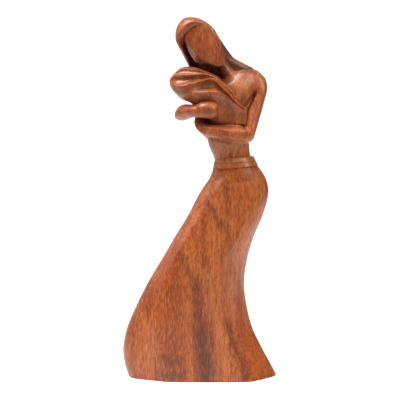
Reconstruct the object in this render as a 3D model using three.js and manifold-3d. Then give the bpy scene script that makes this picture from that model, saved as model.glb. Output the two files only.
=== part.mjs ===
// A carved wooden statuette: a standing mother in a long flared skirt, her head bowed over the
// child that she cradles. It is cut from one block, so it is one solid that stands on its own hem.
// Millimetres, +Z up. The front faces -Y, and the origin is the middle of the underside.
import * as THREE from "three";
import { mergeVertices } from "three/addons/utils/BufferGeometryUtils.js";
import Module from "manifold-3d";

const wasm = await Module();
wasm.setup();

// Driving dimensions
const HEIGHT = 310; // hem to crown
const HEM_WIDTH = 134;
const HEM_DEPTH = 60; // the thickness of the block
const BELT_LOW = 182.2; // height of the belt's lower edge in the middle
const BELT_TALL = 8.4;
const BELT_EDGE = 0.7; // the bevel of its edges
const BELT_TILT = 3.5; // degrees, the belt rises towards the pushed-out hip
const FACE_LEAN = THREE.MathUtils.degToRad(34.6); // the bowed head, from upright

const halfWidth = HEM_WIDTH / 2;
const halfDepth = HEM_DEPTH / 2;

// The skirt, from the hem up. Left and right are its outline in front view, the two ridges bound
// the flat front, and fold is how deep the hollow beside the right ridge is.
const SKIRT = [
  { z: 0, left: -62, leftRidge: -32, rightRidge: 44, right: halfWidth, front: halfDepth, fold: 3 },
  { z: 10, left: -65.5, leftRidge: -35, rightRidge: 38, right: 62, front: 29.5, fold: 3.5 },
  { z: 24, left: -halfWidth, leftRidge: -38, rightRidge: 30.5, right: 54.5, front: 28.5, fold: 3.5 },
  { z: 42, left: -63.5, leftRidge: -39.5, rightRidge: 22.5, right: 46, front: 27.5, fold: 2.5 },
  { z: 62, left: -55, leftRidge: -38, rightRidge: 19, right: 41, front: 26.5, fold: 1.5 },
  { z: 82, left: -45, leftRidge: -32, rightRidge: 19.5, right: 39, front: 25.5, fold: 0.5 },
  { z: 104, left: -32, leftRidge: -22.5, rightRidge: 22.5, right: 42, front: 24, fold: 0 },
  { z: 122, left: -21.5, leftRidge: -12.5, rightRidge: 32.5, right: 47.5, front: 22.5, fold: 0 },
  { z: 140, left: -10.5, leftRidge: -1.5, rightRidge: 40, right: 55, front: 21, fold: 0 },
  { z: 160, left: 0, leftRidge: 9.5, rightRidge: 46, right: 60, front: 19.3, fold: 0 },
  { z: 174, left: 9, leftRidge: 19, rightRidge: 45, right: 57, front: 17.3, fold: 0 },
  { z: 188, left: 13, leftRidge: 21, rightRidge: 39, right: 47, front: 15.2, fold: 0 },
];

// The heights between which each ridge of the skirt runs out into the round of the hips.
const RIDGE_END = { left: [164, 186], right: [138, 172] };

// The child from its face (-X) to its feet. Each rail is x, y, z along the body: the upper rim, a
// thin lock, three crests of the hair and cloth, the lower hem and the line of the back.
const CHILD = {
  rim: [
    [-26, -12, 263],
    [-14, -13, 267.8],
    [-7, -14, 268],
    [1, -15, 266],
    [14.5, -15.5, 260.2],
    [19.5, -16, 255.5],
    [27.9, -16.5, 246.5],
    [34.3, -16, 236.8],
    [40, -14, 232],
  ],
  lock: [
    [-26, -15, 262.5],
    [-14, -18, 266],
    [-7, -20, 265.5],
    [0.5, -21.5, 264.2],
    [14, -20.5, 259.5],
    [19.4, -19.5, 254.3],
    [27, -18.5, 245.8],
    [40, -15, 231.5],
  ],
  crestHigh: [
    [-26, -17, 261.5],
    [-15, -22.5, 260.4],
    [-8, -25, 260.8],
    [1, -25.5, 261.6],
    [9.6, -24.3, 260],
    [19.7, -21, 251.9],
    [30.7, -18.5, 239.6],
    [40, -16.5, 231],
  ],
  crestMiddle: [
    [-26, -18, 252],
    [-15, -25.5, 252.2],
    [0, -28.5, 255],
    [7.9, -28, 257.3],
    [12.8, -26, 256],
    [18.2, -23.3, 250.8],
    [30.6, -19.8, 237.9],
    [40, -17, 230],
  ],
  crestLow: [
    [-26, -16, 248.5],
    [-14, -24.5, 246],
    [0, -28, 245.7],
    [13, -28, 246.8],
    [19.5, -26, 245.2],
    [25, -23.8, 240.4],
    [31, -21.5, 235],
    [40, -18, 228],
  ],
  hem: [
    [-26, -12, 245],
    [-14, -15, 240],
    [-8, -16, 237.5],
    [0, -17, 230],
    [8, -18, 223],
    [16, -18.5, 219.5],
    [40, -16, 218.5],
  ],
  back: [
    [-26, -6, 254],
    [-14, 2, 254],
    [0, 4, 250],
    [40, 2, 230],
  ],
};

// How far the child's surface swells (or, below zero, is scooped) between a rail and the next one,
// as x and swell. The scoops are deepest close under their upper rail.
const CHILD_SWELL = {
  rim: [[-26, 0], [-10, -0.8], [20, -1], [40, 0]],
  lock: [[-26, 0], [-12, -2], [10, -1.4], [40, -0.5]],
  crestHigh: [[-26, -1], [-14, -3.6], [2, -4], [12, -1.6], [40, -0.4]],
  crestMiddle: [[-26, 1.6], [-12, 0.4], [0, -4.6], [14, -5.6], [26, -3], [40, -0.8]],
  crestLow: [[-26, 1.6], [-12, 1], [2, -1], [14, -2.8], [24, -2.2], [40, 0]],
  hem: [[-26, 4], [40, 2]],
  back: [[-26, 4], [40, 4]],
};
const CHILD_UNDERCUT = 0.65; // 1 would put the deepest place of a scoop midway

// The blank mask of the face. Each side of its leaning outline reaches so far from the centre, is
// widest so far above it, and has its own squareness towards the crown and the chin.
const MASK = {
  centre: [6.4, 0, 285.3],
  right: { reach: 11.7, middle: 4, crown: 2.5, chin: 2 },
  left: { reach: 12.2, middle: 8, crown: 9, chin: 1.7 },
  crown: 19,
  chin: -20.6,
  front: -26,
  back: 6,
  dome: [33, 24, 54], // the half sizes of the ball that rounds its front
  domeCentre: [8, 4.5, 287],
};

// The jaw side of the mask slopes back and outwards, from a depth on and over a depth. It spreads
// by a rate at the crown and by more for every millimetre down, and fades out towards the chin.
const JAW = { from: -17.6, deep: 7, rate: 0.07, more: 0.034, fade: [-15, -5] };

// Value of one column of a table at a place, eased between its rows.
function eased(rows, by, key, at) {
  const last = rows.length - 1;
  let i = 0;
  while (i < last - 1 && at > rows[i + 1][by]) i++;
  const slope = (k) => {
    const [a, b] = [rows[Math.max(k - 1, 0)], rows[Math.min(k + 1, last)]];
    return (b[key] - a[key]) / (b[by] - a[by]);
  };
  const [a, b] = [rows[i], rows[i + 1]];
  const span = b[by] - a[by];
  const t = THREE.MathUtils.clamp((at - a[by]) / span, 0, 1);
  const u = 1 - t;
  return (
    a[key] * (1 + 2 * t) * u * u +
    b[key] * (3 - 2 * t) * t * t +
    (slope(i) * u - slope(i + 1) * t) * span * t * u
  );
}

function solid(geometry) {
  geometry.deleteAttribute("normal");
  geometry.deleteAttribute("uv");
  const merged = mergeVertices(geometry, 1e-3);
  return new wasm.Manifold(
    new wasm.Mesh({
      numProp: 3,
      vertProperties: merged.attributes.position.array,
      triVerts: merged.index.array,
    }),
  );
}

// Each vertex of a geometry goes where a function of its first place says.
function reshape(geometry, move) {
  const place = geometry.attributes.position;
  const p = new THREE.Vector3();
  for (let i = 0; i < place.count; i++) {
    p.fromBufferAttribute(place, i);
    place.setXYZ(i, ...move(p).toArray());
  }
  return geometry;
}

// One level of the skirt: its centre, and the place at a share of the way round it. The outline is a
// closed curve with soft corners at the ridges, and it becomes an oval where they run out.
function skirtLevel(z) {
  const at = (key) => eased(SKIRT, "z", key, z);
  const [left, right, front, fold] = [at("left"), at("right"), at("front"), at("fold")];
  const [ridgeL, ridgeR] = [at("leftRidge"), at("rightRidge")];
  const middle = (ridgeL + ridgeR) / 2;
  const points = [
    [left, 2],
    [left + 0.12 * (ridgeL - left), -0.45 * front],
    [ridgeL - 1.2, -front + 3.2],
    [ridgeL + 1.2, -front + 1.6],
    [middle, -front],
    [ridgeR - 1.2, -front + 1.2],
    [ridgeR + 1, -front + 2.6],
    [ridgeR + 0.45 * (right - ridgeR), -0.72 * front + fold],
    [right - 1, -0.12 * front],
    [right - 1, 0.12 * front],
    [ridgeR + 0.4 * (right - ridgeR), 0.75 * front],
    [ridgeR, front - 2],
    [middle, front],
    [ridgeL, front - 2],
    [left + 0.2 * (ridgeL - left), 0.5 * front],
  ];
  const curve = new THREE.CatmullRomCurve3(
    points.map(([x, y]) => new THREE.Vector3(x, y, z)),
    true,
    "centripetal",
  );
  const centre = new THREE.Vector3((left + right - 1) / 2, 0, z);
  const half = (right - 1 - left) / 2;
  const roundL = THREE.MathUtils.smoothstep(z, ...RIDGE_END.left);
  const roundR = THREE.MathUtils.smoothstep(z, ...RIDGE_END.right);
  const place = (t) => {
    const point = curve.getPoint(t);
    const angle = Math.atan2(point.y / front, (point.x - centre.x) / half);
    const oval = new THREE.Vector3(centre.x + half * Math.cos(angle), front * Math.sin(angle), z);
    const share = THREE.MathUtils.smoothstep(point.x, ridgeL, ridgeR);
    return point.lerp(oval, THREE.MathUtils.lerp(roundL, roundR, share));
  };
  return { centre, place };
}

function skirt() {
  const top = SKIRT[SKIRT.length - 1].z;
  const levels = 24;
  const rings = Array.from({ length: levels + 1 }, (_, i) => skirtLevel((top * i) / levels));
  const drum = new THREE.CylinderGeometry(1, 1, 1, 46, levels);
  return reshape(drum, (p) => {
    const { centre, place } = rings[Math.round((p.y + 0.5) * levels)];
    if (Math.hypot(p.x, p.z) < 0.5) return centre;
    const turn = Math.atan2(p.x, p.z) / (2 * Math.PI);
    return place((turn + 1) % 1);
  });
}

// Cosine or sine pulled outwards, so that a circle becomes a rounded square.
const squarer = (value, square) => Math.sign(value) * Math.abs(value) ** (2 / square);

// A rounded limb along a spine. Each station is x, y, z, half its width in the picture plane and
// half its depth. blunt rounds the ends off, 2 as an egg and more as a sausage; square flattens
// the sides, shear leans the front over, and up is the way that depth is taken along.
function limb(
  stations,
  { around = 14, rings = 10, blunt = 2.5, square = 2, shear = 0, up = [0, 1, 0] } = {},
) {
  const curve = (points) =>
    new THREE.CatmullRomCurve3(
      points.map((p) => new THREE.Vector3(...p)),
      false,
      "catmullrom",
    );
  const spine = curve(stations.map(([x, y, z]) => [x, y, z]));
  const girth = curve(stations.map(([, , , width, depth]) => [width, depth, 0]));
  return reshape(new THREE.SphereGeometry(1, around, rings), (p) => {
    const t = (1 - p.y) / 2;
    const tangent = spine.getTangent(t);
    const deepway = new THREE.Vector3(...up).projectOnPlane(tangent).normalize();
    const sideway = new THREE.Vector3().crossVectors(deepway, tangent);
    const size = girth.getPoint(t);
    const close = Math.max(0, 1 - Math.abs(p.y) ** blunt) ** (1 / blunt);
    const angle = Math.atan2(p.z, p.x);
    const pole = Math.hypot(p.x, p.z) < 1e-6 ? 0 : 1;
    const deep = squarer(Math.sin(angle), square) * close * pole * size.y;
    const side = squarer(Math.cos(angle), square) * close * pole * size.x;
    return spine
      .getPoint(t)
      .addScaledVector(sideway, side + shear * deep)
      .addScaledVector(deepway, deep);
  });
}

// A form given by level slices from the top down: height, left, right, front and back. lean is
// how much each slice climbs for every millimetre to the right, and flute is how deep the four
// scoops down its back are at a height.
function stack(rows, { around = 24, steps = 2, square = 2, lean = 0, flute = () => 0 } = {}) {
  const table = [...rows].reverse();
  const levels = (table.length - 1) * steps;
  const drum = new THREE.CylinderGeometry(1, 1, 1, around, levels);
  return reshape(drum, (p) => {
    const level = Math.round((p.y + 0.5) * levels);
    const row = Math.min(Math.floor(level / steps), table.length - 2);
    const share = level / steps - row;
    const z = table[row][0] * (1 - share) + table[row + 1][0] * share;
    const [left, right, front, back] = [1, 2, 3, 4].map((key) => eased(table, 0, key, z));
    const rim = Math.hypot(p.x, p.z) < 0.5 ? 0 : 1;
    const angle = Math.atan2(-p.z, p.x);
    const x = (left + right + rim * squarer(Math.cos(angle), square) * (right - left)) / 2;
    const y = (front + back + rim * squarer(Math.sin(angle), square) * (back - front)) / 2;
    const scoop = angle > 0 ? rim * flute(z) * Math.abs(Math.sin(4 * angle)) : 0;
    return new THREE.Vector3(x, y - scoop, z + lean * (x - (left + right) / 2));
  });
}

// A body drawn over rails that all run along X. Its -X end closes as a dome of the given length.
function draped(rails, swells, { rings = 28, strips = 4, dome = 12 } = {}) {
  const names = Object.keys(rails);
  const around = names.length * strips;
  const [start, end] = [rails[names[0]][0][0], rails[names[0]].at(-1)[0]];
  const drum = new THREE.CylinderGeometry(1, 1, 1, around, rings);
  return reshape(drum, (p) => {
    const ring = Math.round((p.y + 0.5) * rings) / rings;
    const x = start + (end - start) * ring ** 1.4;
    const corners = names.map(
      (name) => new THREE.Vector3(x, eased(rails[name], 0, 1, x), eased(rails[name], 0, 2, x)),
    );
    const middle = new THREE.Vector3();
    corners.forEach((corner) => middle.addScaledVector(corner, 1 / names.length));
    if (Math.hypot(p.x, p.z) < 0.5) return middle;
    const step = (Math.round((Math.atan2(p.x, p.z) / (2 * Math.PI)) * around) + around) % around;
    const rail = Math.floor(step / strips);
    const s = (step % strips) / strips;
    const from = corners[rail];
    const to = corners[(rail + 1) % names.length];
    const swell = eased(swells[names[rail]], 0, 1, x);
    const outward = new THREE.Vector3(0, to.z - from.z, from.y - to.y).normalize();
    const bow = s ** CHILD_UNDERCUT;
    const place = from.clone().lerp(to, s).addScaledVector(outward, swell * 4 * bow * (1 - bow));
    const inset = THREE.MathUtils.clamp((start + dome - x) / dome, 0, 1);
    return place.sub(middle).multiplyScalar(Math.sqrt(1 - inset ** 2)).add(middle);
  });
}

// The mask is a leaning column with that outline, and a shallow dome for its front.
function mask() {
  const column = reshape(new THREE.CylinderGeometry(1, 1, 1, 40, 8), (p) => {
    const y = THREE.MathUtils.mapLinear(p.y, -0.5, 0.5, MASK.front, MASK.back);
    if (Math.hypot(p.x, p.z) < 0.5) return new THREE.Vector3(0, y, 0);
    const side = p.x < 0 ? MASK.left : MASK.right;
    const end = p.z < 0 ? "chin" : "crown";
    const square = side[end];
    const size = (Math.abs(p.x) ** square + Math.abs(p.z) ** square) ** (-1 / square);
    const across = p.x * size * side.reach;
    const along = side.middle + p.z * size * Math.abs(MASK[end] - side.middle);
    const behind = THREE.MathUtils.clamp(y - JAW.from, 0, JAW.deep);
    const leftness = (1 - across / side.reach) / 2;
    const spread = JAW.rate + JAW.more * (MASK.crown - along);
    const jaw = behind * leftness * spread * THREE.MathUtils.smoothstep(along, ...JAW.fade);
    return new THREE.Vector3(across - jaw, y, along);
  });
  const dome = new THREE.SphereGeometry(1, 32, 24).scale(...MASK.dome);
  column.rotateY(-FACE_LEAN).translate(...MASK.centre);
  dome.rotateY(-FACE_LEAN).translate(...MASK.domeCentre);
  return solid(column).intersect(solid(dome));
}

const torso = stack([
  [260, 22, 42, 0, 12],
  [252, 10, 50, -5, 15],
  [244, 2, 48.5, -9, 15],
  [236, 2, 47, -11, 15],
  [222, 5, 44, -16.8, 14],
  [212, 5.5, 42, -17, 13.5],
  [205, 6.6, 42, -17.5, 13.5],
  [198, 8.4, 42.6, -15.5, 14],
  [192, 11.3, 43.2, -14.8, 14.5],
  [186, 13.5, 44, -14.8, 14.5],
], { square: 2.3 });

const belt = stack(
  [
    [BELT_LOW + BELT_TALL, 13.4, 45.6, -15.5, 15.5],
    [BELT_LOW + BELT_TALL - BELT_EDGE, 12.8, 46.4, -16.2, 16.2],
    [BELT_LOW + BELT_EDGE, 11.2, 50, -17.4, 17.4],
    [BELT_LOW, 11.9, 49.2, -16.7, 16.7],
  ],
  { steps: 1, around: 32, square: 2.5, lean: Math.tan(THREE.MathUtils.degToRad(BELT_TILT)) },
);

const shoulders = limb(
  [
    [-9, 6, 240, 6, 6],
    [4, 6, 242, 7, 8],
    [17, 4, 247, 8, 10],
    [29, 2, 253, 9, 12],
    [44, 1, 253, 10, 12],
    [54, 0, 250, 9, 10],
  ],
  { blunt: 3 },
);

const chest = stack([
  [265.5, 36, 44, -3, 4],
  [263.5, 29, 49, -7, 7],
  [259, 22, 52, -10.5, 8],
  [252, 16, 50.8, -14, 8],
  [244, 20, 45.2, -15.5, 6],
  [237, 26, 41, -15, 4],
  [231, 30, 38.5, -12, 2],
]);

const upperArm = stack(
  [
    [265.6, 42, 47.5, -2, 3],
    [264, 36, 50.3, -5, 7],
    [258.5, 38, 55.6, -9, 10],
    [251.8, 44, 57.6, -11, 10.5],
    [246.6, 47.5, 57.2, -12, 10],
    [239, 44.5, 55.2, -13, 8],
    [232, 41, 53.3, -14.5, 5],
    [221.6, 38.6, 50.2, -17.5, 2],
    [212, 37, 47.4, -19.5, 0],
    [206.5, 36.5, 45.6, -18.5, -2],
    [204, 38, 43.5, -14, -6],
  ],
  { square: 3, around: 20, steps: 1 },
);

const forearm = limb(
  [
    [44, -8, 209.5, 5, 6],
    [36, -14.5, 210.4, 6.1, 8],
    [25, -17.5, 211.7, 5.5, 8],
    [14, -18.5, 213.2, 4.8, 8],
    [5, -15, 214.6, 4.8, 8],
    [0, -7, 219.5, 4.4, 7.5],
    [-0.5, 0, 227, 4, 7],
  ],
  { blunt: 5, square: 3.2, rings: 14 },
);

const rightArm = limb(
  [
    [1, 6, 250, 6, 7],
    [-1, 5, 243, 7, 8],
    [2, 2, 228, 5, 9],
    [5, -2, 213, 4.5, 8],
    [12, -8, 208, 3, 6],
  ],
  { blunt: 4 },
);

const neck = limb(
  [
    [10, 6, 285, 5, 6],
    [18, 3, 272, 4.2, 7],
    [22.8, 0.5, 265, 4.6, 7.2],
    [27.5, 0.5, 258, 5.5, 8],
    [32, 1, 250, 8, 9],
  ],
  { blunt: 4 },
);

const hair = stack(
  [
    [HEIGHT, -11, -6, -2, 3],
    [309.2, -13.8, -3.5, -6, 7],
    [306.5, -16.6, 2.2, -10, 11],
    [302, -19, 9.3, -13, 15],
    [297.5, -20.5, 13.4, -13, 17.5],
    [293, -19, 16.6, -9.5, 19],
    [289, -17.4, 19.4, -3, 20],
    [280.5, -13.8, 25.4, 1, 21.5],
    [275.5, -11, 30, 3, 22.5],
    [271, -8.5, 38.5, 5, 23.5],
    [266.5, -6.5, 46.5, 6.5, 24],
    [260, -5, 48.5, 7, 24],
    [247, -2, 46, 6, 23],
    [230, 5, 41, 5, 20],
    [215, 11, 37, 4, 17],
    [204, 19, 30, 4, 13.5],
  ],
  { square: 2.3, steps: 1, around: 32, flute: (z) => 2 * THREE.MathUtils.smoothstep(-z, -288, -262) },
);

// The rolled front edge of the hair, up the far side of the face, over it and down the near side.
const hairEdge = limb(
  [
    [-1, 13, 250, 1, 2.5],
    [-6, 9, 264, 1.5, 4.5],
    [-10, 5, 274, 2.4, 6.5],
    [-14.1, 2, 282.5, 2.6, 8],
    [-16.6, -3.5, 290, 3.6, 9],
    [-14.6, -9, 297, 6.3, 9.5],
    [-10.2, -10.5, 301.8, 7.6, 9],
    [-4, -10.5, 303.8, 5.8, 9],
    [3, -9.5, 302.8, 3.6, 9],
    [9.6, -6, 298.4, 2.6, 9.5],
    [15, -1, 291.2, 2, 7],
    [18.5, 4, 285.5, 1.2, 4],
  ],
  { blunt: 5, square: 1.45, shear: 0.1, around: 12, rings: 22 },
);

const childShoulder = limb([
  [16.8, -22, 231.2, 7.4, 8],
  [6.3, -22.5, 231.5, 7.4, 8],
  [-4.2, -21, 231.6, 7.4, 8],
]);

const childArm = limb(
  [
    [12, -21, 231, 7, 6.5],
    [0, -20.5, 230.6, 8, 6],
    [-7, -17, 230.4, 7.5, 5.6],
    [-13, -10.5, 229.3, 6.5, 6.8],
    [-17, -3, 226.9, 5.5, 6],
    [-20.3, 3, 223.8, 3.6, 3],
  ],
  { blunt: 3, up: [0, 0, 1] },
);

const forms = [
  skirt(), belt, torso, shoulders, chest, upperArm, forearm, rightArm, neck, hair, hairEdge,
  draped(CHILD, CHILD_SWELL), childShoulder, childArm,
].map(solid);
const figure = wasm.Manifold.union([...forms, mask()]);

const mesh = figure.getMesh();
const geometry = new THREE.BufferGeometry();
geometry.setAttribute("position", new THREE.BufferAttribute(mesh.vertProperties, 3));
geometry.setIndex(new THREE.BufferAttribute(mesh.triVerts, 1));
geometry.computeVertexNormals();
geometry.computeBoundingBox();
const middle = geometry.boundingBox.getCenter(new THREE.Vector3());
geometry.translate(-middle.x, -middle.y, 0);

const wood = new THREE.MeshStandardMaterial({ color: 0x9a4f26, roughness: 0.45, metalness: 0 });
const statuette = new THREE.Mesh(geometry, wood);
statuette.name = "mother_and_child";

const group = new THREE.Group();
group.add(statuette);
export default group;
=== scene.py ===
import math

import bmesh
import bpy
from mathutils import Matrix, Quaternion, Vector
from mathutils.bvhtree import BVHTree


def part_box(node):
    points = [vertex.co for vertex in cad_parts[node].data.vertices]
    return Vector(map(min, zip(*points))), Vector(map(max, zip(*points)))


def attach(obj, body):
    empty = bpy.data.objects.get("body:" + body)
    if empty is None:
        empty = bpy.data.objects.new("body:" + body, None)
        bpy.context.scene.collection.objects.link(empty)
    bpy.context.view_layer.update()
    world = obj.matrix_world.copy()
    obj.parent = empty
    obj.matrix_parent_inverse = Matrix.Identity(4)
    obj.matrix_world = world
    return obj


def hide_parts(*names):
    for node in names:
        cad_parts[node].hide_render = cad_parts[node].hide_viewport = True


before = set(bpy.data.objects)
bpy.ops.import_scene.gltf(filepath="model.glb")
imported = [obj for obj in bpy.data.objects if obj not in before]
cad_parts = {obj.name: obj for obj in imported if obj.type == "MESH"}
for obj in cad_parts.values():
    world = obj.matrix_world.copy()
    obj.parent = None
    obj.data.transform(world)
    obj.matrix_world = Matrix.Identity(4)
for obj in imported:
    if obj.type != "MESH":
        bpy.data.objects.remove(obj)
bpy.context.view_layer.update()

# The statuette is modelled in millimetres and made metres at the end
millimetre = 0.001
carved = "mother_and_child"
blockTall = (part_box(carved)[1].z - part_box(carved)[0].z) / millimetre


# Tables and curves

def eased(rows, column, at):  # one column of a table, eased between its rows by the first column
    last = len(rows) - 1
    i = 0
    while i < last - 1 and at > rows[i + 1][0]:
        i += 1

    def slope(k):
        before, after = rows[max(k - 1, 0)], rows[min(k + 1, last)]
        return (after[column] - before[column]) / (after[0] - before[0])

    a, b = rows[i], rows[i + 1]
    span = b[0] - a[0]
    t = min(max((at - a[0]) / span, 0), 1)
    u = 1 - t
    ends = a[column] * (1 + 2 * t) * u * u + b[column] * (3 - 2 * t) * t * t
    return ends + (slope(i) * u - slope(i + 1) * t) * span * t * u


def onCurve(points, t, closed=False):  # the place at t, from 0 to 1, on a smooth curve
    count = len(points)
    spans = count if closed else count - 1
    i = min(int(t * spans), spans - 1)
    u = t * spans - i
    b, c = points[i], points[(i + 1) % count]
    a = points[i - 1] if closed or i > 0 else 2 * b - c
    d = points[(i + 2) % count] if closed or i + 2 < count else 2 * c - b
    power = 0.5 if closed else 0  # keeps an outline whose points are uneven free of loops
    ab, bc, cd = (b - a).length ** power, (c - b).length ** power, (d - c).length ** power
    leave = ((b - a) / ab - (c - a) / (ab + bc) + (c - b) / bc) * bc
    arrive = ((c - b) / bc - (d - b) / (bc + cd) + (d - c) / cd) * bc
    stay = b * (2 * u ** 3 - 3 * u ** 2 + 1) + c * (3 * u ** 2 - 2 * u ** 3)
    return stay + leave * (u ** 3 - 2 * u ** 2 + u) + arrive * (u ** 3 - u ** 2)


def ramp(value, none, full):  # eased from 0 at none to 1 at full, which may be the lower one
    t = min(max((value - none) / (full - none), 0), 1)
    return t * t * (3 - 2 * t)


def squarer(value, square):  # a sine pulled outwards, so that a circle becomes a rounded square
    return math.copysign(abs(value) ** (2 / square), value)


# Forms

def drum(around, levels):  # a closed cylinder of radius one and one tall, cut into levels
    form = bmesh.new()
    bmesh.ops.create_cone(
        form, cap_ends=True, cap_tris=True, segments=around, radius1=1, radius2=1, depth=1
    )
    upright = [e for e in form.edges if abs(e.verts[0].co.z - e.verts[1].co.z) > 0.5]
    bmesh.ops.subdivide_edges(form, edges=upright, cuts=levels - 1, use_grid_fill=True)
    return form


def ball(around, rings):  # of radius one
    form = bmesh.new()
    bmesh.ops.create_uvsphere(form, u_segments=around, v_segments=rings, radius=1)
    return form


def reshaped(form, move):  # moves every point, and turns the faces outwards
    for vert in form.verts:
        vert.co = move(vert.co.copy())
    bmesh.ops.recalc_face_normals(form, faces=form.faces)
    if form.calc_volume(signed=True) < 0:
        bmesh.ops.reverse_faces(form, faces=form.faces)
    return form


# A rounded limb along a spine. A station is x, y, z, half its width in front view and half its
# depth. blunt rounds the ends off, 2 as an egg and more as a sausage; square flattens its sides,
# shear leans its front over, and up is the way that depth is taken along.
def limb(stations, around=48, rings=60, blunt=2.5, square=2, shear=0, up=(0, 1, 0)):
    spine = [Vector(station[:3]) for station in stations]
    girth = [Vector(station[3:]) for station in stations]
    near = 0.001

    def move(p):
        t = (1 - p.z) / 2
        tangent = onCurve(spine, min(t + near, 1)) - onCurve(spine, max(t - near, 0))
        tangent.normalize()
        deepway = Vector(up) - tangent * tangent.dot(Vector(up))
        deepway.normalize()
        sideway = deepway.cross(tangent)
        size = onCurve(girth, t)
        close = max(0, 1 - abs(p.z) ** blunt) ** (1 / blunt)
        if math.hypot(p.x, p.y) < 1e-5:
            close = 0
        angle = math.atan2(p.y, p.x)
        side = squarer(math.cos(angle), square) * close * size.x
        deep = squarer(math.sin(angle), square) * close * size.y
        return onCurve(spine, t) + sideway * (side + shear * deep) + deepway * deep

    return reshaped(ball(around, rings), move)


# A form given by level slices from the top down: height, left, right, front and back. lean is how
# much a slice climbs for every millimetre to the right. flute gives the depth of the four scoops
# down its back at a height.
def stack(rows, around=112, steps=8, square=2, lean=0, flute=lambda z: 0):
    table = rows[::-1]
    levels = (len(table) - 1) * steps

    def move(p):
        level = round((p.z + 0.5) * levels)
        row = min(level // steps, len(table) - 2)
        share = level / steps - row
        z = table[row][0] * (1 - share) + table[row + 1][0] * share
        left, right, front, back = (eased(table, key, z) for key in (1, 2, 3, 4))
        rim = 0 if math.hypot(p.x, p.y) < 0.5 else 1
        angle = math.atan2(p.y, p.x)
        x = (left + right + rim * squarer(math.cos(angle), square) * (right - left)) / 2
        y = (front + back + rim * squarer(math.sin(angle), square) * (back - front)) / 2
        if angle > 0:
            y -= rim * flute(z) * abs(math.sin(4 * angle))
        return Vector((x, y, z + lean * (x - (left + right) / 2)))

    return reshaped(drum(around, levels), move)


# A body drawn over rails that all run along X. Its left end closes as a dome, and crowding sets
# its rings closer there. An undercut below 1 moves the deepest place of a scoop towards the rail
# that it starts from.
def draped(rails, swells, undercut, rings=130, strips=16, dome=12, crowding=1.4):
    names = list(rails)
    around = len(names) * strips
    start, end = rails[names[0]][0][0], rails[names[0]][-1][0]
    sections = {}

    def section(ring):
        if ring not in sections:
            x = start + (end - start) * (ring / rings) ** crowding
            corners = [
                Vector((x, eased(rails[name], 1, x), eased(rails[name], 2, x))) for name in names
            ]
            swell = [eased(swells[name], 1, x) for name in names]
            middle = sum(corners, Vector()) / len(corners)
            inset = min(max((start + dome - x) / dome, 0), 1)
            sections[ring] = corners, swell, middle, math.sqrt(1 - inset ** 2)
        return sections[ring]

    def move(p):
        corners, swell, middle, size = section(round((p.z + 0.5) * rings))
        if math.hypot(p.x, p.y) < 0.5:
            return middle
        step = round(math.atan2(p.x, p.y) / (2 * math.pi) * around) % around
        rail, share = step // strips, step % strips / strips
        first, second = corners[rail], corners[(rail + 1) % len(corners)]
        outward = Vector((0, second.z - first.z, first.y - second.y)).normalized()
        bow = share ** undercut
        place = first.lerp(second, share) + outward * (swell[rail] * 4 * bow * (1 - bow))
        return middle + (place - middle) * size

    return reshaped(drum(around, rings), move)


# Joining and sanding forms

def shown(name, forms):  # an object that holds the given forms
    whole = bmesh.new()
    for form in forms:
        mesh = bpy.data.meshes.new(name)
        form.to_mesh(mesh)
        whole.from_mesh(mesh)
        bpy.data.meshes.remove(mesh)
    mesh = bpy.data.meshes.new(name)
    whole.to_mesh(mesh)
    whole.free()
    made = bpy.data.objects.new(name, mesh)
    bpy.context.scene.collection.objects.link(made)
    return made


def taken(*objects):  # the form of the first object with its modifiers, and then none is kept
    made = objects[0].evaluated_get(bpy.context.evaluated_depsgraph_get())
    mesh = bpy.data.meshes.new_from_object(made)
    form = bmesh.new()
    form.from_mesh(mesh)
    bpy.data.meshes.remove(mesh)
    for used in objects:
        bpy.data.meshes.remove(used.data)
    return form


def melted(forms, grain, sanding):  # one skin of that grain round all the forms, then sanded
    lump = shown("lump", forms)
    skin = lump.modifiers.new("skin", "REMESH")
    skin.mode = "VOXEL"
    skin.voxel_size = grain
    sander = lump.modifiers.new("sander", "SMOOTH")
    sander.factor = 0.5
    sander.iterations = sanding
    return taken(lump)


def joined(form, other, operation="UNION"):  # a crisp join or cut
    block, tool = shown("block", [form]), shown("tool", [other])
    join = block.modifiers.new("join", "BOOLEAN")
    join.operation = operation
    join.object = tool
    join.solver = "MANIFOLD"
    return taken(block, tool)


def sand(form, verts):
    axes = {"use_axis_x": True, "use_axis_y": True, "use_axis_z": True}
    bmesh.ops.smooth_vert(form, verts=list(verts), factor=0.5, **axes)


# The skirt. A level is its height, the left outline, the two ridges that bound the flat front,
# the right outline, its half depth and how deep the hollow beside the right ridge is.
skirtShape = {
    "levels": [
        (0, -62, -32, 44, 67, 30, 3),
        (10, -65.5, -35, 38, 62, 29.5, 3.5),
        (24, -67, -38, 30.5, 54.5, 28.5, 3.5),
        (42, -63.5, -39.5, 22.5, 46, 27.5, 2.5),
        (62, -55, -38, 19, 41, 26.5, 1.5),
        (82, -45, -32, 19.5, 39, 25.5, 0.5),
        (104, -32, -22.5, 22.5, 42, 24, 0),
        (122, -21.5, -12.5, 32.5, 47.5, 22.5, 0),
        (140, -10.5, -1.5, 40, 55, 21, 0),
        (160, 0, 9.5, 46, 60, 19.3, 0),
        (174, 9, 19, 45, 57, 17.3, 0),
        (188, 13, 21, 39, 47, 15.2, 0),
    ],
    "leftRunout": (164, 186),  # the heights between which a ridge runs out towards the belt
    "rightRunout": (138, 172),
    "rings": 104,
    "around": 165,
}


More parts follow.
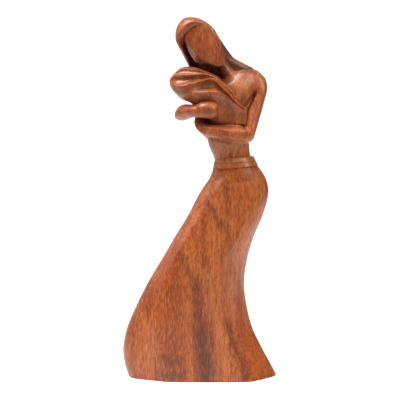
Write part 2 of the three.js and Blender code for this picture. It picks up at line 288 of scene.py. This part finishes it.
def skirtOutline(z):  # gives the place at a share of the way round a level, and its middle
    left, leftRidge, rightRidge, right, front, fold = (
        eased(skirtShape["levels"], key, z) for key in range(1, 7)
    )
    middle = (leftRidge + rightRidge) / 2
    centre, half = (left + right - 1) / 2, (right - 1 - left) / 2
    corners = [  # from the left edge along the front and round the back
        (left, 2),
        (left + 0.12 * (leftRidge - left), -0.45 * front),
        (leftRidge - 1.2, -front + 3.2),
        (leftRidge + 1.2, -front + 1.6),
        (middle, -front),
        (rightRidge - 1.2, -front + 1.2),
        (rightRidge + 1, -front + 2.6),
        (rightRidge + 0.45 * (right - rightRidge), -0.72 * front + fold),
        (right - 1, -0.12 * front),
        (right - 1, 0.12 * front),
        (rightRidge + 0.4 * (right - rightRidge), 0.75 * front),
        (rightRidge, front - 2),
        (middle, front),
        (leftRidge, front - 2),
        (left + 0.2 * (leftRidge - left), 0.5 * front),
    ]
    corners = [Vector((x, y, z)) for x, y in corners]
    leftMelt, rightMelt = ramp(z, *skirtShape["leftRunout"]), ramp(z, *skirtShape["rightRunout"])

    def place(t):
        point = onCurve(corners, t, closed=True)
        angle = math.atan2(point.y / front, (point.x - centre) / half)
        oval = Vector((centre + half * math.cos(angle), front * math.sin(angle), z))
        share = ramp(point.x, leftRidge, rightRidge)
        return point.lerp(oval, leftMelt + (rightMelt - leftMelt) * share)

    return place, Vector((centre, 0, z))


def skirt():
    rings = skirtShape["rings"]
    top = skirtShape["levels"][-1][0]
    outlines = [skirtOutline(top * ring / rings) for ring in range(rings + 1)]
    around = skirtShape["around"]

    def move(p):
        place, centre = outlines[round((p.z + 0.5) * rings)]
        if math.hypot(p.x, p.y) < 0.5:
            return centre
        step = round(math.atan2(-p.y, -p.x) / (2 * math.pi) * around) % around
        return place(step / around)

    return reshaped(drum(around, rings), move)


# The belt, a low band that rises towards the pushed-out hip
beltShape = {
    "low": 182.2,
    "tall": 8.4,
    "edge": 0.7,
    "groove": 0.35,
    "tilt": 3.5,
    "outlines": {  # left, right, front and back
        "top": (13.4, 45.6, -15.5, 15.5),
        "upperEdge": (12.8, 46.4, -16.2, 16.2),
        "overGroove": (12.1, 48.1, -16.8, 16.8),
        "groove": (12.1, 48.2, -16.8, 16.8),  # before it is cut
        "underGroove": (11.9, 48.3, -16.9, 16.9),
        "lowerEdge": (11.2, 50, -17.4, 17.4),
        "bottom": (11.9, 49.2, -16.7, 16.7),
    },
}


def belt():
    low, high, edge = beltShape["low"], beltShape["low"] + beltShape["tall"], beltShape["edge"]
    middle, groove = (low + high) / 2, beltShape["groove"]
    outlines = beltShape["outlines"]
    left, right, front, back = outlines["groove"]
    rows = [
        (high, *outlines["top"]),
        (high - edge, *outlines["upperEdge"]),
        (middle + groove, *outlines["overGroove"]),
        (middle, left + groove, right - groove, front + groove, back - groove),
        (middle - groove, *outlines["underGroove"]),
        (low + edge, *outlines["lowerEdge"]),
        (low, *outlines["bottom"]),
    ]
    lean = math.tan(math.radians(beltShape["tilt"]))
    return stack(rows, steps=1, around=120, square=2.5, lean=lean)


# The mother's body and arms. A melt is the grain of a skin and how often it is sanded.
bodyShape = {
    "trunkMelt": (0.9, 10),
    "melt": (0.7, 5),
    "torso": [
        (260, 22, 42, 0, 12),
        (252, 10, 50, -5, 15),
        (244, 2, 48.5, -9, 15),
        (236, 2, 47, -11, 15),
        (222, 5, 44, -16.8, 14),
        (212, 5.5, 42, -17, 13.5),
        (205, 6.6, 42, -17.5, 13.5),
        (198, 8.4, 42.6, -15.5, 14),
        (192, 11.3, 43.2, -14.8, 14.5),
        (186, 13.5, 44, -14.8, 14.5),
    ],
    "shoulders": [
        (-9, 6, 240, 6, 6),
        (4, 6, 242, 7, 8),
        (17, 4, 247, 8, 10),
        (29, 2, 253, 9, 12),
        (44, 1, 253, 10, 12),
        (54, 0, 250, 9, 10),
    ],
    "chest": [
        (265.5, 36, 44, -3, 4),
        (263.5, 29, 49, -7, 7),
        (259, 22, 52, -10.5, 8),
        (252, 16, 50.8, -14, 8),
        (244, 20, 45.2, -15.5, 6),
        (237, 26, 41, -15, 4),
        (231, 30, 38.5, -12, 2),
    ],
    "upperArm": [
        (265.6, 42, 47.5, -2, 3),
        (264, 36, 50.3, -5, 7),
        (258.5, 38, 55.6, -9, 10),
        (251.8, 44, 57.6, -11, 10.5),
        (246.6, 47.5, 57.2, -12, 10),
        (239, 44.5, 55.2, -13, 8),
        (232, 41, 53.3, -14.5, 5),
        (221.6, 38.6, 50.2, -17.5, 2),
        (212, 37, 47.4, -19.5, 0),
        (206.5, 36.5, 45.6, -18.5, -2),
        (204, 38, 43.5, -14, -6),
    ],
    "forearm": [
        (44, -8, 209.5, 5, 6),
        (36, -14.5, 210.4, 6.1, 8),
        (25, -17.5, 211.7, 5.5, 8),
        (14, -18.5, 213.2, 4.8, 8),
        (5, -15, 214.6, 4.8, 8),
        (0, -7, 219.5, 4.4, 7.5),
        (-0.5, 0, 227, 4, 7),
    ],
    "rightArm": [
        (1, 6, 250, 6, 7),
        (-1, 5, 243, 7, 8),
        (2, 2, 228, 5, 9),
        (5, -2, 213, 4.5, 8),
        (12, -8, 208, 3, 6),
    ],
    "neck": [
        (10, 6, 285, 5, 6),
        (18, 3, 272, 4.2, 7),
        (22.8, 0.5, 265, 4.6, 7.2),
        (27.5, 0.5, 258, 5.5, 8),
        (32, 1, 250, 8, 9),
    ],
}


def body():
    trunk = [
        stack(bodyShape["torso"], square=2.3),
        limb(bodyShape["shoulders"], blunt=3),
        limb(bodyShape["rightArm"], blunt=4),
        limb(bodyShape["neck"], blunt=4),
    ]
    arms = [
        stack(bodyShape["chest"]),
        stack(bodyShape["upperArm"], square=3),
        limb(bodyShape["forearm"], blunt=5, square=3.2),
    ]
    return melted([melted(trunk, *bodyShape["trunkMelt"]), *arms], *bodyShape["melt"])


# The mother's head: the veil of hair, its rolled front edge and the blank mask of the face
headShape = {
    "melt": (0.7, 10),
    "hair": [
        (blockTall, -11, -6, -2, 3),
        (309.2, -13.8, -3.5, -6, 7),
        (306.5, -16.6, 2.2, -10, 11),
        (302, -19, 9.3, -13, 15),
        (297.5, -20.5, 13.4, -13, 17.5),
        (293, -19, 16.6, -9.5, 19),
        (289, -17.4, 19.4, -3, 20),
        (280.5, -13.8, 25.4, 1, 21.5),
        (275.5, -11, 30, 3, 22.5),
        (271, -8.5, 38.5, 5, 23.5),
        (266.5, -6.5, 46.5, 6.5, 24),
        (260, -5, 48.5, 7, 24),
        (247, -2, 46, 6, 23),
        (230, 5, 41, 5, 20),
        (215, 11, 37, 4, 17),
        (204, 19, 30, 4, 13.5),
    ],
    "flute": 2,
    "fluteHeights": (288, 262),  # none above the first one, and full below the second
    "edge": [
        (-1, 13, 250, 1, 2.5),
        (-6, 9, 264, 1.5, 4.5),
        (-10, 5, 274, 2.4, 6.5),
        (-14.1, 2, 282.5, 2.6, 8),
        (-16.6, -3.5, 290, 3.6, 9),
        (-14.6, -9, 297, 6.3, 9.5),
        (-10.2, -10.5, 301.8, 7.6, 9),
        (-4, -10.5, 303.8, 5.8, 9),
        (3, -9.5, 302.8, 3.6, 9),
        (9.6, -6, 298.4, 2.6, 9.5),
        (15, -1, 291.2, 2, 7),
        (18.5, 4, 285.5, 1.2, 4),
    ],
}

# The mask's outline is four quarters about a centre, each with its own reach across, reach along
# and squareness. It leans with the bowed head, and its jaw side flares towards the back.
maskShape = {
    "centre": (6.4, 285.3),
    "lean": 34.6,
    "right": 11.7,
    "left": 12.2,
    "rightMiddle": 4,
    "leftMiddle": 8,
    "crown": 19,
    "chin": -20.6,
    "squareness": {"crownRight": 2.5, "crownLeft": 9, "chinLeft": 1.7, "chinRight": 2},
    "front": -26,
    "back": 6,
    "flareFrom": -17.6,
    "flareDeep": 7,
    "flareEnds": (-15, -5),  # it fades out between these, towards the chin
    "flareRate": (0.07, 0.034),  # at the crown, and more for every mm below it
    "dome": (33, 24, 54),
    "domeCentre": (8, 4.5, 287),
    "melt": (0.62, 2),
}


def mask():
    shape = maskShape
    lean = Quaternion((0, 1, 0), math.radians(-shape["lean"]))
    centre = Vector((shape["centre"][0], 0, shape["centre"][1]))
    depth = shape["back"] - shape["front"]

    def move(p):
        y = shape["front"] + (p.z + 0.5) * depth
        rim = math.hypot(p.x, p.y)
        if rim < 0.5:
            return centre + Vector((0, y, 0))
        side = "Right" if p.x >= 0 else "Left"
        across = shape[side.lower()]
        middle = shape[side.lower() + "Middle"]
        end = "crown" if p.y >= 0 else "chin"
        power = shape["squareness"][end + side]
        length = abs(shape[end] - middle)
        reach = (abs(p.x) ** power + abs(p.y) ** power) ** (-1 / power)
        wide = p.x * reach * across
        high = middle + p.y * reach * length
        if abs(p.x) < 1e-6:
            high = shape[end]
        behind = min(max(0, y - shape["flareFrom"]), shape["flareDeep"])
        leftness = min(max((1 - wide / across) / 2, 0), 1)
        chinFade = ramp(high, *shape["flareEnds"])
        rate, more = shape["flareRate"]
        wide -= behind * leftness * chinFade * (rate + more * (shape["crown"] - high))
        return centre + lean @ Vector((wide, y, high))

    column = reshaped(drum(around=120, levels=24), move)
    dome = ball(around=96, rings=72)
    bmesh.ops.scale(dome, vec=shape["dome"], verts=dome.verts)
    bmesh.ops.rotate(dome, matrix=lean.to_matrix(), verts=dome.verts)
    bmesh.ops.translate(dome, vec=shape["domeCentre"], verts=dome.verts)
    return melted([joined(column, dome, "INTERSECT")], *shape["melt"])


def head():
    def flute(z):
        return headShape["flute"] * ramp(z, *headShape["fluteHeights"])

    hair = stack(headShape["hair"], square=2.3, flute=flute)
    edge = limb(headShape["edge"], blunt=5, rings=90, square=1.45, shear=0.1)
    return melted([hair, edge], *headShape["melt"])


# The child from its face, on the left, to its feet. A rail is x, y, z along the body: the upper
# rim, a thin lock, three crests of the hair and cloth, the lower hem and the line of the back. A
# swell is x and how far the surface stands out, or is scooped below zero, before the next rail.
childShape = {
    "rails": {
        "rim": [
            (-26, -12, 263), (-14, -13, 267.8), (-7, -14, 268), (1, -15, 266), (14.5, -15.5, 260.2),
            (19.5, -16, 255.5), (27.9, -16.5, 246.5), (34.3, -16, 236.8), (40, -14, 232),
        ],
        "lock": [
            (-26, -15, 262.5), (-14, -18, 266), (-7, -20, 265.5), (0.5, -21.5, 264.2),
            (14, -20.5, 259.5), (19.4, -19.5, 254.3), (27, -18.5, 245.8), (40, -15, 231.5),
        ],
        "crestHigh": [
            (-26, -17, 261.5), (-15, -22.5, 260.4), (-8, -25, 260.8), (1, -25.5, 261.6),
            (9.6, -24.3, 260), (19.7, -21, 251.9), (30.7, -18.5, 239.6), (40, -16.5, 231),
        ],
        "crestMiddle": [
            (-26, -18, 252), (-15, -25.5, 252.2), (0, -28.5, 255), (7.9, -28, 257.3),
            (12.8, -26, 256), (18.2, -23.3, 250.8), (30.6, -19.8, 237.9), (40, -17, 230),
        ],
        "crestLow": [
            (-26, -16, 248.5), (-14, -24.5, 246), (0, -28, 245.7), (13, -28, 246.8),
            (19.5, -26, 245.2), (25, -23.8, 240.4), (31, -21.5, 235), (40, -18, 228),
        ],
        "hem": [
            (-26, -12, 245), (-14, -15, 240), (-8, -16, 237.5), (0, -17, 230), (8, -18, 223),
            (16, -18.5, 219.5), (40, -16, 218.5),
        ],
        "back": [(-26, -6, 254), (-14, 2, 254), (0, 4, 250), (40, 2, 230)],
    },
    "swells": {
        "rim": [(-26, 0), (-10, -0.8), (20, -1), (40, 0)],
        "lock": [(-26, 0), (-12, -2), (10, -1.4), (40, -0.5)],
        "crestHigh": [(-26, -1), (-14, -3.6), (2, -4), (12, -1.6), (40, -0.4)],
        "crestMiddle": [(-26, 1.6), (-12, 0.4), (0, -4.6), (14, -5.6), (26, -3), (40, -0.8)],
        "crestLow": [(-26, 1.6), (-12, 1), (2, -1), (14, -2.8), (24, -2.2), (40, 0)],
        "hem": [(-26, 4), (40, 2)],
        "back": [(-26, 4), (40, 4)],
    },
    "undercut": 0.65,
    "sanding": 3,
    "faceEnds": (-17, -22),  # the crests run out between these
    "faceSanding": 30,
    "armMelt": (0.6, 34),
    "shoulder": [
        (16.8, -22, 231.2, 7.4, 8),
        (6.3, -22.5, 231.5, 7.4, 8),
        (-4.2, -21, 231.6, 7.4, 8),
    ],
    "arm": [
        (12, -21, 231, 7, 6.5),
        (0, -20.5, 230.6, 8, 6),
        (-7, -17, 230.4, 7.5, 5.6),
        (-13, -10.5, 229.3, 6.5, 6.8),
        (-17, -3, 226.9, 5.5, 6),
        (-20.3, 3, 223.8, 3.6, 3),
    ],
}


def child():
    trunk = draped(childShape["rails"], childShape["swells"], childShape["undercut"])
    for _ in range(childShape["sanding"]):
        sand(trunk, trunk.verts)
    first, last = childShape["faceEnds"]
    for k in range(childShape["faceSanding"]):
        end = first - (first - last) * k / childShape["faceSanding"]
        sand(trunk, [vert for vert in trunk.verts if vert.co.x < end])
    shoulder = limb(childShape["shoulder"])
    arm = limb(childShape["arm"], blunt=3, up=(0, 0, 1))
    return [trunk, melted([shoulder, arm], *childShape["armMelt"])]


# The whole carving
finish = {
    "melt": (0.7, 3),
    "creaseSanding": 8,
    "roughAngle": math.radians(22),
    "weld": 0.01,  # what the joins leave smaller than this is closed up
    "sharpest": math.radians(40),  # steeper edges are shown crisp
}


def creaseSanded(form):  # sands only where the tool left a narrow groove or a knife edge
    for _ in range(finish["creaseSanding"]):
        rough = set()
        for edge in form.edges:
            if abs(edge.calc_face_angle_signed(0)) > finish["roughAngle"]:
                rough.update(edge.verts)
        sand(form, rough)
    return form


def welded(form):  # closes up the slivers along the joins, and drops points that shape nothing
    bmesh.ops.remove_doubles(form, verts=form.verts, dist=finish["weld"])
    bmesh.ops.dissolve_degenerate(form, edges=form.edges, dist=finish["weld"])
    idle = [vert for vert in form.verts if len(vert.link_edges) == 2]
    bmesh.ops.dissolve_verts(form, verts=idle)
    return form


def carving():
    print("carving the body")
    figure = [body()]
    print("carving the head")
    figure.append(head())
    print("carving the child")
    trunk, arm = child()
    print("sanding the figure")
    upper = creaseSanded(melted([*figure, arm], *finish["melt"]))
    print("carving the skirt")
    form = joined(joined(skirt(), belt()), upper)
    for crisp in (mask(), trunk):
        form = joined(form, crisp)
    return welded(form)


def smoothShaded(form):
    for face in form.faces:
        face.smooth = True
    for edge in form.edges:
        edge.smooth = edge.calc_face_angle(0) < finish["sharpest"]


# How deep every point lies in the carving: the share of short rays that hit it again. The wood's
# colour darkens with it as painted shade in the hollows, partly polish residue
recessLook = {"rays": 20, "reach": 22 * millimetre, "lift": 0.4 * millimetre, "sanding": 3}


def markRecesses(form):
    depth = form.verts.layers.float.new("recess")
    tree = BVHTree.FromBMesh(form)
    form.normal_update()
    turn = math.pi * (3 - math.sqrt(5))
    rays = []
    for k in range(recessLook["rays"]):
        rise = math.sqrt(1 - (k + 0.5) / recessLook["rays"])
        side = math.sqrt(1 - rise ** 2)
        rays.append(Vector((side * math.cos(turn * k), side * math.sin(turn * k), rise)))
    for vert in form.verts:
        toSurface = Vector((0, 0, 1)).rotation_difference(vert.normal)
        start = vert.co + vert.normal * recessLook["lift"]
        shade = 0
        for ray in rays:
            distance = tree.ray_cast(start, toSurface @ ray, recessLook["reach"])[3]
            if distance is not None:
                shade += 1 - distance / recessLook["reach"]
        vert[depth] = shade / len(rays)
    for _ in range(recessLook["sanding"]):
        even = {
            vert: sum(e.other_vert(vert)[depth] for e in vert.link_edges) / len(vert.link_edges)
            for vert in form.verts
        }
        for vert, value in even.items():
            vert[depth] = (vert[depth] + value) / 2


form = carving()
bmesh.ops.scale(form, vec=(millimetre,) * 3, verts=form.verts)
smoothShaded(form)
print("marking the recesses")
markRecesses(form)
statuette = shown("carvedStatuette", [form])
print("triangles", sum(len(face.vertices) - 2 for face in statuette.data.polygons))

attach(statuette, "root")
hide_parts(carved)


# Shader maths: a Wire is a socket of a material's nodes that takes part in sums
class Wire:
    def __init__(self, tree, socket=None):
        self.tree = tree
        self.socket = socket

    def make(self, kind, settings=None, values=None, out=0):
        node = self.tree.nodes.new("ShaderNode" + kind)
        for name, setting in (settings or {}).items():
            setattr(node, name, setting)
        for name, value in (values or {}).items():
            if isinstance(value, Wire):
                self.tree.links.new(value.socket, node.inputs[name])
            else:
                node.inputs[name].default_value = value
        return Wire(self.tree, node.outputs[out] if node.outputs else None)

    def sum(self, operation, *values):  # of the values, or of this wire alone
        return self.make("Math", {"operation": operation}, dict(enumerate(values or (self,))))

    def __add__(self, other):
        return self.sum("ADD", self, other)

    def __sub__(self, other):
        return self.sum("SUBTRACT", self, other)

    def __rsub__(self, other):
        return self.sum("SUBTRACT", other, self)

    def __mul__(self, other):
        return self.sum("MULTIPLY", self, other)

    __radd__ = __add__
    __rmul__ = __mul__

    def fade(self, none, full):  # eased from 0 at none to 1 at full, as ramp does
        kind = {"interpolation_type": "SMOOTHSTEP"}
        return self.make("MapRange", kind, {0: self, 1: none, 2: full})

    def mix(self, first, second):  # between two colours, by this wire
        kinds = {"data_type": "RGBA", "clamp_factor": True}
        return self.make("Mix", kinds, {0: self, 6: first, 7: second}, out=2)


# Suar wood, oiled to a satin gloss: orange heartwood with red and dark layers that run up the
# block, and long open pores. A grain is its size across and along the trunk in millimetres, its
# detail, its roughness and its offset. A share is where a grain sets in, where it is full and how
# much it then counts. A layer is where it starts and ends as x, z, its half width and its
# strength, and a broad one has its colour before these. Some layers are painted light and shade,
# not wood: painted highlights on the chest and along the right ridge, painted light on the waist
# and belt, painted shade on the lower front beside the left ridge, in the fold's hollow and under
# the jaw, and partly painted shade on the veil. The recess colour is painted shade in the
# hollows, partly polish residue.
woodLook = {
    "orange": (0.48, 0.114, 0.022, 1),
    "red": (0.32, 0.064, 0.015, 1),
    "pale": (0.56, 0.2, 0.062, 1),
    "warm": (0.46, 0.078, 0.007, 1),
    "deep": (0.24, 0.042, 0.008, 1),
    "dark": (0.1, 0.028, 0.014, 1),
    "pore": (0.06, 0.017, 0.01, 1),
    # painted shade in the hollows, partly polish residue
    "recess": (0.07, 0.022, 0.014, 1),
    "grains": {
        "broad": (30, 130, 2, 0.5, 0),
        "layer": (7, 80, 3, 0.5, 0),
        "wander": (7, 80, 1, 0.5, 7),
        "streak": (2.2, 30, 3, 0.6, 0),
        "fleck": (1.1, 6, 3, 0.65, 0),
        "pore": (0.55, 3.6, 1, 0.5, 3),
    },
    "broadShare": 0.6,
    "shares": {
        "layer": (0.38, 0.66, 0.55),
        "streak": (0.46, 0.74, 0.5),
        "darkFleck": (0.48, 0.7, 0.62),
        "paleFleck": (0.5, 0.32, 0.55),
        "vein": (0.36, 0.56, 0.35),  # what the dark layers lose between the flecks
    },
    "redness": (0.25, 0.85),
    "broadLayersWithPaintedLightAndShade": [
        ("warm", 40, 182, 46, 120, 10, 0.6),
        ("warm", 45, 42, 58, 4, 9, 0.5),
        ("warm", -24, 100, -30, 50, 9, 0.6),
        ("deep", -22, 98, -28, 50, 9, 0.5),
        # painted shade: the lower front beside the left ridge, less lit than the side plane
        ("deep", -27, 48, -22, -6, 11, 0.75),
        ("deep", -40, 84, -47, 56, 6, 0.7),
        ("deep", -58, 40, -54, 10, 8, 0.16),
        ("deep", -4, 232, 14, 232, 6, 0.5),
        ("pale", 8, 96, 11, 60, 5, 0.4),
        ("pale", 13, 60, 22, 10, 4.5, 0.35),
        # painted highlight: these three run along the lit facet right of the right ridge
        ("pale", 51, 182, 47, 140, 5, 0.35),
        ("pale", 45, 140, 24, 98, 4, 0.35),
        ("pale", 24, 98, 26, 50, 4.5, 0.35),
        # painted highlight: the sheen on the chest
        ("pale", 22, 262, 42, 248, 7, 0.55),
        # painted light: these two lift the shade of the forearm and chest off the waist and belt
        ("pale", 14, 200, 42, 199, 5, 0.35),
        ("pale", 12, 185, 48, 189, 3, 0.45),
    ],
    "darkLayersWithPaintedShade": [
        (6, 154, 24, 126, 2.4, 0.55),
        (24, 126, 26, 98, 2, 0.5),
        (-17, 110, -4, 86, 2.4, 0.55),
        (-4, 86, -1, 50, 4, 0.75),
        (0, 50, 7, -6, 7, 1),
        (-34, 20, -14, 18, 3.2, 0.55),
        (-34, 6, -12, 7, 3, 0.6),
        (28, 172, 45, 176, 4, 0.4),
        # painted shade: these two lie in the fold's hollow right of the right ridge
        (22, 54, 27, 36, 3, 0.5),
        (27, 36, 40, 2, 3.4, 0.6),
        # dark wood on the veil, partly painted shade where it turns away from the light
        (19, 290, 27, 268, 4, 1),
        (27, 269, 48, 265.5, 3.5, 1),
        # painted shade: these two lie under the jaw
        (-22, 267.5, -6, 267.5, 2.8, 0.5),
        (-9, 270, 15, 263, 3.5, 0.9),
        (4, 231, 12, 231, 5, 0.3),
    ],
    "wander": 3,  # how far a layer strays from its line
    "poreRange": (0.56, 0.68),
    "poreShare": 0.4,
    "recessRange": (0.2, 0.7),
    "recessShadeAndResidueShare": 0.14,
    "roughness": (0.4, 0.8),  # in the open, and in a recess
    "specular": 0.36,
    "coat": 0.26,
    "coatRoughness": 0.25,
    "bump": {"Strength": 0.2, "Distance": 0.0002},
}


def suarWood():
    material = bpy.data.materials.new("suarWood")
    material.use_nodes = True
    tree = material.node_tree
    tree.nodes.clear()
    start = Wire(tree)
    place = start.make("TexCoord", out="Object")

    def grain(name):  # noise drawn out along the trunk
        across, along, detail, rough, offset = woodLook["grains"][name]
        scale = [1 / (length * millimetre) for length in (across, across, along)]
        stretch = {"Vector": place, "Scale": scale, "Location": (offset, 0, 0)}
        spot = start.make("Mapping", {}, stretch)
        values = {"Vector": spot, "Scale": 1.0, "Detail": detail, "Roughness": rough}
        return start.make("TexNoise", {"noise_dimensions": "3D"}, values, out="Fac")

    def share(noise, name):  # how much of its colour a grain gives at a point
        none, full, most = woodLook["shares"][name]
        return noise.fade(none, full) * most

    x = start.make("SeparateXYZ", {}, {"Vector": place}, out="X") * (1 / millimetre)
    z = start.make("SeparateXYZ", {}, {"Vector": place}, out="Z") * (1 / millimetre)
    stray = (grain("wander") - 0.5) * (2 * woodLook["wander"])

    def layer(x0, z0, x1, z1, half, strength):
        length = math.hypot(x1 - x0, z1 - z0)
        ux, uz = (x1 - x0) / length, (z1 - z0) / length
        along = (x - x0) * ux + (z - z0) * uz
        across = ((x - x0) * uz - (z - z0) * ux + stray).sum("ABSOLUTE")
        ends = along.fade(-half, half) * (length - along).fade(-half, half)
        return (1 - across.fade(0, 2 * half)) * ends * strength

    redness = grain("broad") * woodLook["broadShare"] + share(grain("layer"), "layer")
    tone = redness.fade(*woodLook["redness"]).mix(woodLook["orange"], woodLook["red"])
    tone = share(grain("streak"), "streak").mix(tone, woodLook["dark"])
    # wood layers, with painted highlights, painted light and painted shade among them
    for name, *row in woodLook["broadLayersWithPaintedLightAndShade"]:
        tone = layer(*row).mix(tone, woodLook[name])
    flecks = grain("fleck")
    tone = share(flecks, "darkFleck").mix(tone, woodLook["dark"])
    tone = share(flecks, "paleFleck").mix(tone, woodLook["pale"])
    veins = 1 - woodLook["shares"]["vein"][2] + share(flecks, "vein")
    # dark wood layers, with painted shade among them
    for row in woodLook["darkLayersWithPaintedShade"]:
        tone = (layer(*row) * veins).mix(tone, woodLook["dark"])
    pores = grain("pore").fade(*woodLook["poreRange"])
    tone = (pores * woodLook["poreShare"]).mix(tone, woodLook["pore"])
    # Painted shade: the colour darkens in the recesses, partly as polish residue
    deep = start.make("Attribute", {"attribute_name": "recess"}, out="Fac")
    recess = deep.fade(*woodLook["recessRange"])
    tone = (recess * woodLook["recessShadeAndResidueShare"]).mix(tone, woodLook["recess"])
    smooth, rough = woodLook["roughness"]
    values = {
        "Base Color": tone,
        "Roughness": smooth + recess * (rough - smooth),
        "Specular IOR Level": woodLook["specular"],
        "Normal": start.make("Bump", {}, {**woodLook["bump"], "Height": 1 - pores}),
        "Coat Weight": woodLook["coat"] - recess * woodLook["coat"],
        "Coat Roughness": woodLook["coatRoughness"],
    }
    shader = start.make("BsdfPrincipled", {}, values)
    start.make("OutputMaterial", {}, {"Surface": shader})
    return material


statuette.data.materials.clear()
statuette.data.materials.append(suarWood())

# The floor. A range is where a fade starts and where it is full, in metres.
stageLook = {
    "radius": 12,
    "segments": 96,
    "roughness": 0.9,
    "white": (0.9, 0.9, 0.9, 1),
    "dull": (0.3, 0.3, 0.3, 1),  # before the statuette and beside it, out of the picture
    "front": (-0.09, -0.4),
    "aside": (0.22, 0.7),
    "widening": 0.17,
    "glow": 1.15,
    "glowOnWood": 0.6,  # the share of the glow that falls on the statuette
    "near": (0.03, 0.1),  # white from close by the hem on, and whiter far away
    "far": (0.3, 1.2),
    "nearShare": 0.6,
}


def stage():
    form = bmesh.new()
    segments, radius = stageLook["segments"], stageLook["radius"]
    bmesh.ops.create_circle(form, cap_ends=True, segments=segments, radius=radius)
    floor = shown("floor", [form])
    material = bpy.data.materials.new("paleFloor")
    material.use_nodes = True
    shader = material.node_tree.nodes["Principled BSDF"]
    shader.inputs["Roughness"].default_value = stageLook["roughness"]
    shader.inputs["Emission Strength"].default_value = stageLook["glow"]
    start = Wire(material.node_tree)
    place = start.make("TexCoord", out="Object")
    across = start.make("SeparateXYZ", {}, {"Vector": place}, out="X")
    depth = start.make("SeparateXYZ", {}, {"Vector": place}, out="Y")
    aside = across.sum("ABSOLUTE") - depth * stageLook["widening"]
    unseen = 1 - start.make("LightPath", out="Is Camera Ray")
    dull = 1 - (1 - depth.fade(*stageLook["front"])) * (1 - aside.fade(*stageLook["aside"]))
    dull = dull * unseen
    tone = dull.mix(stageLook["white"], stageLook["dull"])
    away = start.make("VectorMath", {"operation": "LENGTH"}, {0: place}, out="Value")
    share = stageLook["nearShare"]
    lit = away.fade(*stageLook["near"]) * share + away.fade(*stageLook["far"]) * (1 - share)
    lit = lit * (1 - dull) * (1 - unseen * (1 - stageLook["glowOnWood"]))
    glow = lit.mix((0, 0, 0, 1), stageLook["white"])
    material.node_tree.links.new(tone.socket, shader.inputs["Base Color"])
    material.node_tree.links.new(glow.socket, shader.inputs["Emission Color"])
    floor.data.materials.append(material)


# A light is its place, what it is aimed at, its size and its power
lightLook = {
    "fill": ((0.6, -0.65, 1), (0, 0, 0.12), 0.8, 9.5),
    "top": ((-0.45, -0.25, 1.3), (0, 0, 0.2), 0.6, 21),
    "side": ((-0.95, 0.25, 0.7), (0, 0, 0.12), 0.8, 1.5),
}


def lights():
    for name, (place, aim, size, power) in lightLook.items():
        lamp = bpy.data.lights.new(name, "AREA")
        lamp.shape = "SQUARE"
        lamp.size = size
        lamp.energy = power
        lit = bpy.data.objects.new(name, lamp)
        lit.location = place
        lit.rotation_euler = (Vector(aim) - Vector(place)).to_track_quat("-Z", "Y").to_euler()
        bpy.context.scene.collection.objects.link(lit)


# The camera looks at the statuette from a little above, through a long lens
viewShape = {"aim": (0, 0, 0.15335), "away": 1.1, "above": 5, "lens": 114.46, "sensor": 36}


def camera():
    lens = bpy.data.cameras.new("camera")
    lens.lens = viewShape["lens"]
    lens.sensor_width = viewShape["sensor"]
    seer = bpy.data.objects.new("camera", lens)
    above = math.radians(viewShape["above"])
    back = Vector((0, -math.cos(above), math.sin(above)))
    seer.location = Vector(viewShape["aim"]) + back * viewShape["away"]
    seer.rotation_euler = (-back).to_track_quat("-Z", "Y").to_euler()
    bpy.context.scene.collection.objects.link(seer)
    bpy.context.scene.camera = seer


# White to the camera. What the wood mirrors is white behind the statuette, softer to its left,
# and dim in front and to its right.
skyLook = {
    "white": 1.1,
    "soft": 0.4,
    "dim": 0.08,
    "behind": (0.9, 0.96),
    "turn": (-0.5, 0.35),
    "right": (0.3, 0.8),
}


def sky():
    world = bpy.data.worlds.new("studio")
    world.use_nodes = True
    start = Wire(world.node_tree)
    way = start.make("TexCoord", out="Generated")
    across = start.make("SeparateXYZ", {}, {"Vector": way}, out="X")
    back = start.make("SeparateXYZ", {}, {"Vector": way}, out="Y")
    lit = back.fade(*skyLook["turn"]) * (1 - across.fade(*skyLook["right"]))
    soft = lit * (skyLook["soft"] - skyLook["dim"])
    white = back.fade(*skyLook["behind"]) * (skyLook["white"] - skyLook["soft"])
    seen = start.make("LightPath", out="Is Camera Ray")
    bright = (soft + white + skyLook["dim"]) * (1 - seen) + seen * skyLook["white"]
    background = world.node_tree.nodes["Background"]
    background.inputs["Color"].default_value = (1, 1, 1, 1)
    world.node_tree.links.new(bright.socket, background.inputs["Strength"])
    bpy.context.scene.world = world


print("lighting")
stage()
sky()
lights()
bpy.context.scene.view_settings.view_transform = "Standard"
camera()
